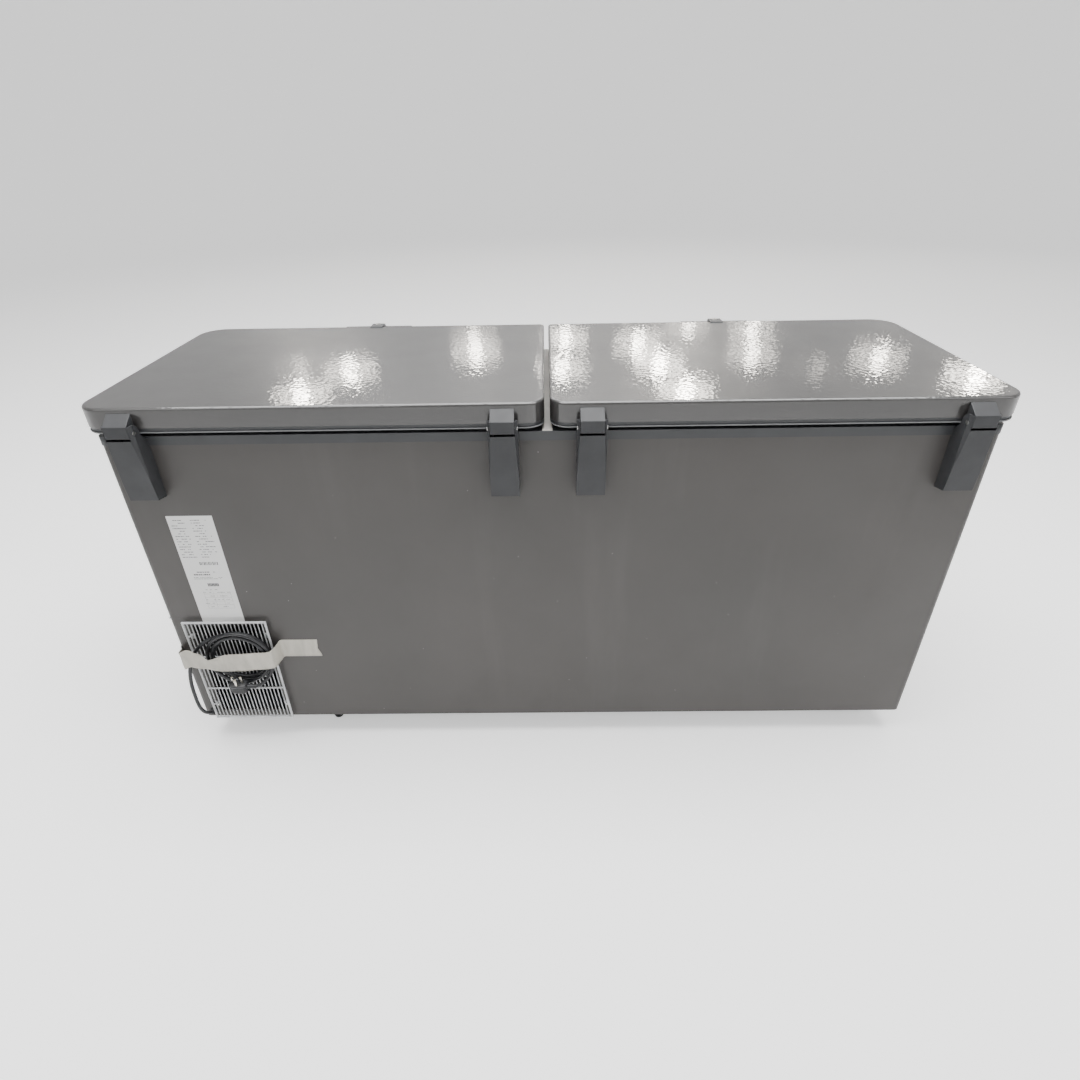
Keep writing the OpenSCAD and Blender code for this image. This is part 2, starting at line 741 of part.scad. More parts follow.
module support_feet() {
  color([0.12, 0.12, 0.12]) for (y = castor_ys) translate([deep_x - 5, y, 0]) {
    cylinder(r1 = 10, r2 = 13, h = 10);
    translate([0, 0, 9]) cylinder(r = 5, h = base_z - 9);
    translate([0, 0, base_z - 8]) cylinder(r = 10, h = 8, $fn = 6);
  }
}

// ---------------------------------------------------------------- basket

basket_x = [552, 748];
basket_y = [-190, 189];
basket_z = [560, 776];

// Flat panel of crossed square bars, in the plane of its two longer sides
module mesh_panel(a, b, along, n1, n2) {
  t = 2.5;
  u = (along + 1) % 3;
  w = (along + 2) % 3;
  size = b - a;
  for (i = [0 : n1]) {
    p = [for (k = [0 : 2]) k == u ? a[u] + i * (size[u] - t) / n1 : a[k]];
    q = [for (k = [0 : 2]) k == u ? t : k == w ? size[w] : t];
    translate(p) cube(q);
  }
  for (i = [0 : n2]) {
    p = [for (k = [0 : 2]) k == w ? a[w] + i * (size[w] - t) / n2 : a[k]];
    q = [for (k = [0 : 2]) k == w ? t : k == u ? size[u] : t];
    translate(p) cube(q);
  }
}

module wire_basket() {
  x0 = basket_x[0];
  x1 = basket_x[1];
  y0 = basket_y[0];
  y1 = basket_y[1];
  z0 = basket_z[0];
  z1 = basket_z[1];
  g = 2.7;
  color([0.93, 0.93, 0.94]) {
    mesh_panel([x0 + g, y0 + g, z0], [x1 - g, y1 - g, z0 + 2.5], 2, 7, 14);
    mesh_panel([x0 + g, y0, z0], [x1 - g, y0 + 2.5, z1], 1, 5, 7);
    mesh_panel([x0 + g, y1 - 2.5, z0], [x1 - g, y1, z1], 1, 5, 7);
    mesh_panel([x0, y0, z0], [x0 + 2.5, y1, z1], 0, 14, 5);
    mesh_panel([x1 - 2.5, y0, z0], [x1, y1, z1], 0, 14, 5);
    for (s = [-1, 1]) {
      y = s > 0 ? y1 : y0;
      for (x = [x0 + 30, x1 - 30]) {
        rod([x, y, z1 - 6], [x, y, top_z + 3], 2.2, $fn = 24);
        translate([x, y, top_z + 3]) sphere(2.2, $fn = 24);
        rod([x, y, top_z + 3], [x, y + s * 26, top_z + 3], 2.2, $fn = 24);
      }
    }
  }
}

// ---------------------------------------------------------------- lids

// Outline of the right-hand lid, moved in by inset
module lid_outline(inset, fn = 96) {
  x0 = lid_x0 + inset;
  x1 = lid_x1 - inset;
  y0 = lid_front + inset;
  y1 = lid_rear - inset;
  of = max(lid_r_front - inset, 1);
  or = max(lid_r_rear - inset, 1);
  ir = max(lid_r_inner - inset, 1);
  ff = max(lid_r_gap - inset, 1);
  polygon([[x0 + ff, y0], [x1 - of, y0], [x1, y0 + of], [x1, y1 - or],
           [x1 - or, y1], [x0 + ir, y1], [x0, y1 - ir], [x0, y0 + ff]]);
  translate([x1 - of, y0 + of]) circle(of, $fn = fn);
  translate([x1 - or, y1 - or]) circle(or, $fn = fn);
  translate([x0 + ir, y1 - ir]) circle(ir, $fn = fn);
  translate([x0 + ff, y0 + ff]) circle(ff, $fn = fn);
}

module lid_slab(inset, z0, z1) {
  translate([0, 0, z0]) linear_extrude(z1 - z0) lid_outline(inset);
}

// Steel cover with a rolled top edge
module lid_cover(side) {
  color([0.5, 0.49, 0.47]) on_side(side) difference() {
    hull() {
      lid_slab(0, cover_z, lid_top - edge_r);
      for (a = [18 : 18 : 90]) lid_slab(edge_r * (1 - cos(a)), lid_top - edge_r,
                                        lid_top - edge_r + edge_r * sin(a));
    }
    lid_slab(skin, cover_z - 1, lid_top - edge_r - 1);
    lid_slab(edge_r, lid_top - edge_r - 1.5, lid_top - skin);
  }
}

module lid_foam(side) {
  color([0.93, 0.86, 0.6]) on_side(side) {
    lid_slab(skin, cover_z, lid_top - edge_r - 1);
    lid_slab(edge_r, lid_top - edge_r - 1.5, lid_top - skin);
    lid_slab(4, rim_z + 2, cover_z + 1);
  }
}

// Plastic inner panel: a rim with a small lip, and a raised field in the middle
module lid_panel(side) {
  raise = 6;
  field = 100;
  color([0.86, 0.87, 0.88]) on_side(side) {
    difference() {
      union() {
        lid_slab(2.5, rim_z, cover_z);
        lid_slab(0.8, rim_z, rim_z + 3);
      }
      lid_slab(4, rim_z + 2, cover_z + 1);
    }
    translate([0, 0, rim_z - raise]) linear_extrude(raise + 1)
      round_rect(lid_x0 + 60, lid_front + field, lid_x1 - field, lid_rear - field, 25);
  }
}

// Four gasket strips that close on the collar and the mullion
module lid_gasket(side) {
  w = 16;
  x0 = lid_x0 + 16;
  x1 = lid_x1 - 30;
  y0 = lid_front + 30;
  y1 = lid_rear - 30;
  z0 = top_z;
  z1 = rim_z;
  color([0.5, 0.51, 0.52]) on_side(side) {
    box([x0, y0, z0], [x1, y0 + w, z1]);
    box([x0, y1 - w, z0], [x1, y1, z1]);
    box([x0, y0 + w + 0.05, z0], [x0 + w, y1 - w - 0.05, z1]);
    box([x1 - w, y0 + w + 0.05, z0], [x1, y1 - w - 0.05, z1]);
  }
}

// Hooked pull with a boss for the lock and a tongue over the lid's front edge
module lid_handle(side) {
  f = lid_front;
  z = lid_top;
  half = 82;
  color([0.13, 0.135, 0.14]) on_side(side) translate([handle_x, 0, 0]) difference() {
    union() {
      side_profile([[f, z - 3], [f, z - 15], [f - 17, z - 18], [f - 19, z - 42], [f - 24, z - 40],
                    [f - 24, z - 12], [f - 15, z - 3]], -half, half);
      for (s = [-1, 1]) side_profile([[f, z - 3], [f, z - 34], [f - 20, z - 42],
                                      [f - 24, z - 40], [f - 24, z - 12], [f - 15, z - 3]],
                                     s * (half - 2.5) - 2.5, s * (half - 2.5) + 2.5);
      side_profile([[f, z - 12], [f, z - 4], [f, z], [f + 18, z], [f + 16, z + 3],
                    [f - 16, z + 3], [f - 23, z - 4], [f - 23, z - 12]], -15, 15);
      side_profile([[f, z - 4], [f, z - 50], [f - 20, z - 54], [f - 24, z - 50], [f - 24, z - 12],
                    [f - 14, z - 3]], -13, 13);
    }
    translate([0, lock_y, z - 60]) cylinder(r = 8.05, h = 70);
  }
}

// Lock barrel with its key slot on top, and the cam plate below it
module lid_lock(side) {
  cam_top = top_z - 3.5;
  color([0.75, 0.76, 0.78]) on_side(side) translate([handle_x, lock_y, 0]) difference() {
    union() {
      translate([0, 0, cam_top + 2 * seam]) cylinder(r = 8, h = lid_top + 3.5 - cam_top - 2 * seam);
      translate([0, 0, top_z - 7]) cylinder(r = 8, h = cam_top - top_z + 7);
      box([0, -4, top_z - 7], [19, 4, cam_top]);
    }
    box([-0.8, -4.5, lid_top - 4], [0.8, 4.5, lid_top + 5]);
  }
}

module hinge_leaf() {
  r = lid_rear;
  difference() {
    side_profile([[r, base_z + 733], [r, base_z + 770], [rear_y + 42, base_z + 753],
                  [rear_y + 42, base_z + 731.5], [rear_y + 39.5, base_z + 729],
                  [rear_y + 20, base_z + 729]], -21.8, 21.8);
    translate([-14, pin_y, pin_z]) rotate([0, 90, 0]) cylinder(r = 9.6, h = 28);
    translate([-30, pin_y, pin_z]) rotate([0, 90, 0]) cylinder(r = pin_r + 0.05, h = 60);
  }
}

module hinge_leaves(side) {
  color([0.33, 0.345, 0.36]) for (x = [hinge_inner_x, hinge_outer_x])
    translate([side * x, 0, 0]) hinge_leaf();
}

// ---------------------------------------------------------------- nodes

outer_shell();
cabinet_foam();
inner_liner();
top_collar();
centre_mullion();
base_pan();
machine_panel();
rear_grille();
fixing_screws();
front_panel();
thermostat();
indicator_lamps();
compressor();
compressor_grommets();
condenser();
fan_shroud();
fan_motor();
filter_drier();
refrigerant_lines();
evaporator_tube();
drain_spout();
rating_label();
hinge_housings();
hinge_pins();
hinge_springs();
lock_keepers();
castor_plates();
support_feet();
cord_gland();
cord_lead();
cord_coil();
cord_tape();
plug_body();
plug_pins();
thermostat_knob();
fan_blade();
drain_plug();
wire_basket();
castor_fork(-castor_x, castor_ys[0]);  // castor_fork_front_left
castor_fork(castor_x, castor_ys[0]);  // castor_fork_front_right
castor_fork(-castor_x, castor_ys[1]);  // castor_fork_rear_left
castor_fork(castor_x, castor_ys[1]);  // castor_fork_rear_right
castor_wheel(-castor_x, castor_ys[0]);  // castor_wheel_front_left
castor_wheel(castor_x, castor_ys[0]);  // castor_wheel_front_right
castor_wheel(-castor_x, castor_ys[1]);  // castor_wheel_rear_left
castor_wheel(castor_x, castor_ys[1]);  // castor_wheel_rear_right
lid_cover(-1);  // lid_cover_left
lid_foam(-1);  // lid_foam_left
lid_panel(-1);  // lid_panel_left
lid_gasket(-1);  // lid_gasket_left
lid_handle(-1);  // lid_handle_left
lid_lock(-1);  // lid_lock_left
hinge_leaves(-1);  // hinge_leaves_left
lid_cover(1);  // lid_cover_right
lid_foam(1);  // lid_foam_right
lid_panel(1);  // lid_panel_right
lid_gasket(1);  // lid_gasket_right
lid_handle(1);  // lid_handle_right
lid_lock(1);  // lid_lock_right
hinge_leaves(1);  // hinge_leaves_right
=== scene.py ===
import json
import math
import random

import bmesh
import bpy
from mathutils import Matrix, Vector


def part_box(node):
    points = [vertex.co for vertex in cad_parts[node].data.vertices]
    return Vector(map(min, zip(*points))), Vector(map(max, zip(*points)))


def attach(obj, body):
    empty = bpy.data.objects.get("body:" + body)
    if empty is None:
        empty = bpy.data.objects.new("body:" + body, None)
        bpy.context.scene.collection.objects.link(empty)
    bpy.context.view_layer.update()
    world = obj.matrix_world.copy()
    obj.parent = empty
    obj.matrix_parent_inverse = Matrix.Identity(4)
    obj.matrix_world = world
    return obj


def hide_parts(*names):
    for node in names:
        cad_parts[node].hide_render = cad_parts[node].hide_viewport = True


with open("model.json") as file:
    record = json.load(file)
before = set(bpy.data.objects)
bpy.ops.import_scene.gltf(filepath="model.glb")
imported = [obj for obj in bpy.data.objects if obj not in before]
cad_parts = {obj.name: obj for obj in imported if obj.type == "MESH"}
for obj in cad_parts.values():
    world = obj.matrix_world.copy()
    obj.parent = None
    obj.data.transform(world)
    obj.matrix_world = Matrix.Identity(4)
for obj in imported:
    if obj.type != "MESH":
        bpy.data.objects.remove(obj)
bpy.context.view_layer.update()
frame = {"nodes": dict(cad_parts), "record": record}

NODES = frame["nodes"]
REAR_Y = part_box("outer_shell")[1].y
BASE_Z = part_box("outer_shell")[0].z
LID_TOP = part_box("lid_cover_right")[1].z
SIDES = ("left", "right")


# ---------------------------------------------------------------- camera

SENSOR_MM = 36
LENS_MM = 22.0
# Heading, tilt and roll of the camera in degrees
CAMERA_HEADING = 180.82
CAMERA_TILT = 58.43
CAMERA_ROLL = -1.08
# Where the camera is: across, behind the rear wall and above the cabinet's lower edge
CAMERA_X = 0.001
CAMERA_BEHIND = 1.131
CAMERA_ABOVE = 1.181


def add_camera():
    """Behind the freezer and above its lids, looking down at the rear wall."""
    camera = bpy.data.objects.new("camera", bpy.data.cameras.new("camera"))
    bpy.context.scene.collection.objects.link(camera)
    camera.data.sensor_width = SENSOR_MM
    camera.data.lens = LENS_MM
    turn = (Matrix.Rotation(math.radians(CAMERA_HEADING), 4, "Z")
            @ Matrix.Rotation(math.radians(CAMERA_TILT), 4, "X")
            @ Matrix.Rotation(math.radians(CAMERA_ROLL), 4, "Z"))
    place = (CAMERA_X, REAR_Y + CAMERA_BEHIND, BASE_Z + CAMERA_ABOVE)
    camera.matrix_world = Matrix.Translation(place) @ turn
    bpy.context.scene.camera = camera


add_camera()


# ---------------------------------------------------------------- material tools

class Shader:
    """A node material with a principled shader and short calls for what feeds it."""

    def __init__(self, name, roughness=0.5, metallic=0.0, coat=0.0, coat_rough=0.1, spec=0.5):
        self.material = bpy.data.materials.new(name)
        self.material.use_nodes = True
        self.tree = self.material.node_tree
        self.bsdf = self.tree.nodes["Principled BSDF"]
        self.bsdf.inputs["Roughness"].default_value = roughness
        self.bsdf.inputs["Metallic"].default_value = metallic
        self.bsdf.inputs["Coat Weight"].default_value = coat
        self.bsdf.inputs["Coat Roughness"].default_value = coat_rough
        self.bsdf.inputs["Specular IOR Level"].default_value = spec
        self.where = self.tree.nodes.new("ShaderNodeTexCoord").outputs["Object"]
        self.normal = None

    def node(self, kind, **inputs):
        made = self.tree.nodes.new(kind)
        for key, value in inputs.items():
            socket = made.inputs[key.replace("_", " ")]
            if isinstance(value, bpy.types.NodeSocket):
                self.tree.links.new(value, socket)
            else:
                socket.default_value = value
        return made

    def stretched(self, scale):
        """Object coordinates, scaled apart along X, Y and Z."""
        mapping = self.node("ShaderNodeMapping", Vector=self.where)
        mapping.inputs["Scale"].default_value = scale
        return mapping.outputs["Vector"]

    def noise(self, scale, detail=3.0, rough=0.5, at=None, warp=0.0):
        made = self.node("ShaderNodeTexNoise", Vector=at or self.where, Scale=scale,
                         Detail=detail, Roughness=rough, Distortion=warp)
        return made.outputs["Fac"]

    def cells(self, scale, feature="F1", at=None, smooth=1.0):
        made = self.tree.nodes.new("ShaderNodeTexVoronoi")
        made.feature = feature
        self.tree.links.new(at or self.where, made.inputs["Vector"])
        made.inputs["Scale"].default_value = scale
        if feature == "SMOOTH_F1":
            made.inputs["Smoothness"].default_value = smooth
        return made.outputs["Distance"]

    def spread(self, value, low, high, to_low=0.0, to_high=1.0):
        made = self.node("ShaderNodeMapRange", Value=value)
        made.inputs["From Min"].default_value = low
        made.inputs["From Max"].default_value = high
        made.inputs["To Min"].default_value = to_low
        made.inputs["To Max"].default_value = to_high
        return made.outputs["Result"]

    def mix(self, factor, a, b):
        """Colour a where factor is 0 and b where it is 1."""
        made = self.tree.nodes.new("ShaderNodeMix")
        made.data_type = "RGBA"
        for socket, value in ((made.inputs[0], factor), (made.inputs[6], a), (made.inputs[7], b)):
            if isinstance(value, bpy.types.NodeSocket):
                self.tree.links.new(value, socket)
            elif isinstance(value, tuple):
                socket.default_value = (*value, 1)
            else:
                socket.default_value = value
        return made.outputs[2]

    def colour(self, value):
        self.tree.links.new(value, self.bsdf.inputs["Base Color"])
        return self

    def roughness(self, value):
        self.tree.links.new(value, self.bsdf.inputs["Roughness"])
        return self

    def bump(self, height, distance, strength=1.0):
        made = self.node("ShaderNodeBump", Height=height, Distance=distance, Strength=strength)
        if self.normal is not None:
            self.tree.links.new(self.normal, made.inputs["Normal"])
        self.normal = made.outputs["Normal"]
        self.tree.links.new(self.normal, self.bsdf.inputs["Normal"])
        return self


def shade(colour, factor):
    return tuple(min(channel * factor, 1.0) for channel in colour)


def moulded(name, colour, roughness=0.5, grain=900.0, depth=0.00006, blotch=0.12, **more):
    """Moulded plastic or rubber: a fine grain, with slight handling marks."""
    s = Shader(name, roughness, **more)
    marks = s.noise(14.0, 5.0, 0.6)
    s.colour(s.mix(s.spread(marks, 0.3, 0.75), shade(colour, 1 - blotch),
                   shade(colour, 1 + blotch)))
    s.roughness(s.spread(s.noise(40.0, 4.0), 0.3, 0.7, roughness * 0.85, roughness * 1.2))
    s.bump(s.noise(grain, 2.0), depth)
    return s.material


def metal(name, colour, roughness=0.3, streak=(1.0, 1.0, 1.0), blotch=0.15, **more):
    """Bare or plated metal, with streaks stretched along one axis."""
    s = Shader(name, roughness, 1.0, **more)
    fine = s.noise(420.0, 3.0, at=s.stretched(streak))
    cloud = s.noise(18.0, 4.0, 0.6)
    s.colour(s.mix(s.spread(cloud, 0.3, 0.7), shade(colour, 1 - blotch), shade(colour, 1 + blotch)))
    s.roughness(s.spread(fine, 0.25, 0.75, roughness * 0.7, roughness * 1.35))
    s.bump(fine, 0.00003)
    return s.material


# ---------------------------------------------------------------- materials

def wall_paint():
    """Satin paint on the cabinet sheet: faint waves, orange peel and dust that has settled."""
    s = Shader("wall_paint", 0.45, coat=0.08, coat_rough=0.35)
    base = (0.053, 0.0495, 0.0465)
    cloud = s.noise(2.2, 4.0, 0.55)
    streaks = s.noise(9.0, 4.0, 0.6, at=s.stretched((1.0, 1.0, 0.12)))
    toned = s.mix(s.spread(cloud, 0.3, 0.7), shade(base, 0.93), (0.059, 0.0535, 0.0505))
    dusty = s.mix(s.spread(streaks, 0.55, 0.8, 0.0, 0.10), toned, (0.15, 0.145, 0.14))
    specks = s.cells(26.0)
    s.colour(s.mix(s.spread(specks, 0.028, 0.018, 0.0, 0.55), dusty, (0.42, 0.41, 0.39)))
    s.roughness(s.spread(s.noise(6.0, 5.0, 0.65), 0.3, 0.75, 0.40, 0.54))
    s.bump(s.noise(3.0, 2.0), 0.0022, 0.35)
    s.bump(s.noise(620.0, 1.5), 0.00005, 0.5)
    return s.material


def lid_paint():
    """Glossy grey paint over sheet embossed with small irregular pebbles."""
    s = Shader("lid_paint", 0.34, coat=1.0, coat_rough=0.012, spec=0.6)
    cloud = s.noise(2.6, 4.0, 0.55)
    s.colour(s.mix(s.spread(cloud, 0.3, 0.72), (0.024, 0.023, 0.022), (0.032, 0.030, 0.029)))
    s.roughness(s.spread(s.noise(7.0, 3.0, 0.5), 0.3, 0.75, 0.30, 0.38))
    s.bump(s.noise(2.0, 1.0, 0.3), 0.002, 0.2)
    s.bump(s.cells(120.0, "SMOOTH_F1", smooth=0.6), 0.0006, 0.20)
    s.tree.links.new(s.normal, s.bsdf.inputs["Coat Normal"])
    return s.material


def liner_sheet():
    """Stucco-embossed aluminium that lines the inside."""
    s = Shader("liner_sheet", 0.33, 1.0)
    cloud = s.noise(5.0, 4.0)
    s.colour(s.mix(s.spread(cloud, 0.3, 0.7), (0.62, 0.63, 0.65), (0.76, 0.77, 0.78)))
    s.bump(s.cells(240.0, "SMOOTH_F1", None, 0.5), 0.0006, 0.6)
    return s.material


def foam_board():
    s = Shader("foam_board", 0.9)
    s.colour(s.mix(s.noise(120.0, 4.0), (0.72, 0.58, 0.28), (0.86, 0.74, 0.42)))
    s.bump(s.cells(900.0), 0.0004, 0.8)
    return s.material


def hinge_paint():
    """Dark satin enamel on the pressed hinge cases, with a faint random mottle."""
    s = Shader("hinge_paint", 0.42, coat=0.12, coat_rough=0.25, spec=0.25)
    dull = s.noise(22.0, 5.0, 0.6)
    s.colour(s.mix(s.spread(dull, 0.3, 0.75), (0.030, 0.031, 0.033), (0.041, 0.042, 0.045)))
    s.roughness(s.spread(s.noise(60.0, 4.0), 0.3, 0.7, 0.32, 0.46))
    s.bump(s.noise(500.0, 2.0), 0.00006, 0.6)
    return s.material


def paper():
    s = Shader("label_paper", 0.42, coat=0.12, coat_rough=0.3)
    s.colour(s.mix(s.noise(30.0, 4.0), (0.66, 0.66, 0.65), (0.74, 0.74, 0.73)))
    s.bump(s.noise(24.0, 3.0), 0.0006, 0.35)
    return s.material


def coated_wire():
    """White dipped plastic on wire, greyed where dust gathers."""
    s = Shader("coated_wire", 0.38, coat=0.15, coat_rough=0.2)
    s.colour(s.mix(s.spread(s.noise(35.0, 5.0, 0.6), 0.35, 0.75), (0.62, 0.63, 0.64),
                   (0.42, 0.43, 0.44)))
    s.bump(s.noise(300.0, 2.0), 0.00012, 0.6)
    return s.material


def tape_film():
    """Thin beige tape with fine wrinkles across it, with painted shade in their hollows and a
    painted highlight on their crests.
    """
    s = Shader("tape_film", 0.42, coat=0.25, coat_rough=0.3)
    ripples = s.noise(55.0, 4.0, 0.6, at=s.stretched((1.0, 1.0, 0.25)), warp=0.4)
    # The colour follows the wrinkles' height: painted shade in their hollows, painted highlight on
    # their crests.
    s.colour(s.mix(s.spread(ripples, 0.3, 0.75), (0.37, 0.35, 0.30), (0.51, 0.49, 0.43)))
    s.bump(ripples, 0.0012, 0.5)
    s.bump(s.noise(380.0, 2.0), 0.0001, 0.5)
    return s.material


def cord_jacket():
    s = Shader("cord_jacket", 0.36, coat=0.1, coat_rough=0.3)
    s.colour(s.mix(s.spread(s.noise(45.0, 5.0), 0.35, 0.75), (0.006, 0.0065, 0.008),
                   (0.015, 0.016, 0.018)))
    s.bump(s.noise(700.0, 2.0), 0.00005, 0.6)
    return s.material


def lamp_lens():
    s = Shader("lamp_lens", 0.15)
    s.colour(s.mix(s.noise(300.0, 1.0), (0.02, 0.30, 0.06), (0.04, 0.42, 0.10)))
    s.bump(s.cells(1500.0), 0.0001, 0.5)
    return s.material


def gasket_vinyl():
    return moulded("gasket_vinyl", (0.15, 0.155, 0.16), 0.5, 1200.0, 0.00003)


def printer_ink():
    s = Shader("printer_ink", 0.6)
    s.colour(s.mix(s.noise(900.0, 2.0), (0.035, 0.035, 0.038), (0.075, 0.075, 0.080)))
    return s.material


def dark_trim():
    return moulded("dark_trim", (0.038, 0.040, 0.043), 0.38, 700.0, 0.00006)


MATERIALS = {
    "rear_steel": wall_paint(),
    "lid_steel": lid_paint(),
    "foam": foam_board(),
    "liner": liner_sheet(),
    "dark_trim": dark_trim(),
    "pale_trim": moulded("pale_trim", (0.52, 0.50, 0.46), 0.40, 800.0, 0.00005, 0.06),
    "galvanised": metal("galvanised", (0.50, 0.51, 0.52), 0.38, (1.0, 0.2, 1.0), 0.22),
    "white_wire": coated_wire(),
    "zinc": metal("zinc", (0.62, 0.62, 0.60), 0.30, (1.0, 1.0, 0.3)),
    "black_paint": moulded("black_paint", (0.022, 0.022, 0.024), 0.34, 500.0, 0.00008, 0.25),
    "black_rubber": moulded("black_rubber", (0.02, 0.02, 0.021), 0.6, 900.0, 0.00008),
    "copper": metal("copper", (0.30, 0.15, 0.095), 0.42, (1.0, 1.0, 1.0), 0.3),
    "lamp": lamp_lens(),
    "black_plastic": moulded("black_plastic", (0.022, 0.023, 0.025), 0.42),
    "liner_plastic": moulded("liner_plastic", (0.68, 0.69, 0.69), 0.28, 300.0, 0.00004, 0.05),
    "paper": paper(),
    "hinge_case": hinge_paint(),
    "spring_steel": metal("spring_steel", (0.45, 0.45, 0.47), 0.28),
    "tape": tape_film(),
    "gasket": gasket_vinyl(),
    "wheel": moulded("wheel_tread", (0.035, 0.035, 0.037), 0.5, 600.0, 0.0001, 0.3),
    "brass_pins": metal("pin_plating", (0.74, 0.71, 0.64), 0.22, (1.0, 1.0, 0.2), 0.1),
    "aluminium_sheet": metal("aluminium_sheet", (0.72, 0.73, 0.74), 0.34, (0.3, 1.0, 1.0)),
}
SLOT_OF = {part["node"]: part["material_slot"] for part in frame["record"]["subparts"]}


def dress(obj, slot):
    """Gives a piece the material listed under that slot name."""
    obj.data.materials.clear()
    obj.data.materials.append(MATERIALS[slot])


def piece(name, mesh, slot, body="cabinet", replaces=()):
    """A finished mesh as a named piece that rides on a body."""
    obj = bpy.data.objects.new(name, mesh)
    bpy.context.scene.collection.objects.link(obj)
    dress(obj, slot)
    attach(obj, body)
    if replaces:
        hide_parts(*replaces)
    return obj


def mesh_from(name, bm, smooth=True):
    bmesh.ops.recalc_face_normals(bm, faces=bm.faces)
    mesh = bpy.data.meshes.new(name)
    bm.to_mesh(mesh)
    bm.free()
    for face in mesh.polygons:
        face.use_smooth = smooth
    return mesh


# ---------------------------------------------------------------- mains cord

CORD_D = 0.008
COIL_CENTRE = Vector((0.685, 0.0, 0.267))
EXIT = (0.806, 0.269, 0.080)
LEAD_ROUTE = [
    (0.806, 0.274, 0.084), (0.806, 0.284, 0.092), (0.807, 0.293, 0.102),
    (0.808, 0.300, 0.114), (0.8085, 0.305, 0.130), (0.808, 0.308, 0.150),
    (0.807, 0.309, 0.172), (0.806, 0.309, 0.194), (0.804, 0.308, 0.216),
    (0.799, 0.3065, 0.242), (0.791, 0.304, 0.268), (0.778, 0.300, 0.291),
    (0.761, 0.294, 0.308), (0.743, 0.287, 0.318),
]
TAIL_ROUTE = [
    (0.622, 0.295, 0.234), (0.629, 0.299, 0.223), (0.638, 0.305, 0.213),
    (0.649, 0.311, 0.206), (0.661, 0.314, 0.204),
]
# Angle in degrees, radius and Y of each strand where it settles, from lead to tail
COIL_STRANDS = [
    (75, 0.066, 0.2858), (340, 0.066, 0.2858), (400, 0.057, 0.2858), (645, 0.057, 0.2858),
    (700, 0.0615, 0.2948), (955, 0.0615, 0.2948), (1015, 0.071, 0.2948), (1275, 0.071, 0.2948),
]
COIL_STEP = 15


def ease(f):
    return f * f * (3 - 2 * f)


def coil_points():
    """The turns of the coil, which pass from strand to strand at different places."""
    points = []
    for (a0, r0, y0), (a1, r1, y1) in zip(COIL_STRANDS, COIL_STRANDS[1:]):
        steps = round((a1 - a0) / COIL_STEP)
        for i in range(steps):
            f = i / steps
            angle = math.radians(a0 + (a1 - a0) * f)
            r = r0 + (r1 - r0) * ease(f)
            y = y0 + (y1 - y0) * ease(f)
            points.append(COIL_CENTRE + Vector((r * math.cos(angle), y, r * math.sin(angle))))
    return points


def smooth_line(points, steps):
    """Points on a Catmull-Rom curve through the given ones."""
    points = [Vector(p) for p in points]
    line = []
    for i in range(len(points) - 1):
        a = points[max(i - 1, 0)]
        b = points[i]
        c = points[i + 1]
        d = points[min(i + 2, len(points) - 1)]
        for k in range(steps):
            f = k / steps
            line.append(0.5 * (2 * b + (c - a) * f + (2 * a - 5 * b + 4 * c - d) * f ** 2
                               + (3 * b - a - 3 * c + d) * f ** 3))
    line.append(points[-1])
    return line


def length_of(points):
    return sum((b - a).length for a, b in zip(points, points[1:]))


def tube_curve(name, points, radius):
    """A round tube through the points."""
    curve = bpy.data.curves.new(name, "CURVE")
    curve.dimensions = "3D"
    curve.bevel_depth = radius
    curve.bevel_resolution = 5
    curve.use_fill_caps = True
    spline = curve.splines.new("POLY")
    spline.points.add(len(points) - 1)
    for slot, p in zip(spline.points, points):
        slot.co = (*p, 1)
    spline.use_smooth = True
    return curve


def add_cord():
    """The whole mains cord in one tube: lead, coil and tail."""
    points = smooth_line(LEAD_ROUTE + coil_points() + TAIL_ROUTE, 3)
    cord = bpy.data.objects.new("mains_cord", tube_curve("mains_cord", points, CORD_D / 2))
    bpy.context.scene.collection.objects.link(cord)
    cord.data.materials.append(cord_jacket())
    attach(cord, "cabinet")
    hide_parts("cord_lead", "cord_coil")
    return cord, length_of(points)


# ---------------------------------------------------------------- plug and strain relief

PLUG_AT = Vector((0.697, REAR_Y + 0.047, BASE_Z + 0.148))
PLUG_TILT = math.radians(-8)
PLUG_HALF_X = 0.0198
PLUG_HALF_Y = 0.0108
GRIP_RIBS = 5
GRIP_STEP = 0.0032
BOOT_RIBS = 6
BOOT_STEP = 0.0028
BOOT_SIDES = 24


def super_ring(bm, half_x, half_y, z, count=40, power=3.4):
    """A ring of vertices on a rounded rectangle."""
    ring = []
    for i in range(count):
        a = 2 * math.pi * i / count
        c = math.cos(a)
        s = math.sin(a)
        r = (abs(c) ** power + abs(s) ** power) ** (-1 / power)
        ring.append(bm.verts.new((half_x * r * c, half_y * r * s, z)))
    return ring


def skin_rings(bm, rings, close=True):
    """Faces between successive rings of vertices, with end caps if asked for."""
    for low, high in zip(rings, rings[1:]):
        n = len(low)
        for i in range(n):
            bm.faces.new((low[i], low[(i + 1) % n], high[(i + 1) % n], high[i]))
    if close:
        bm.faces.new(list(reversed(rings[0])))
        bm.faces.new(rings[-1])


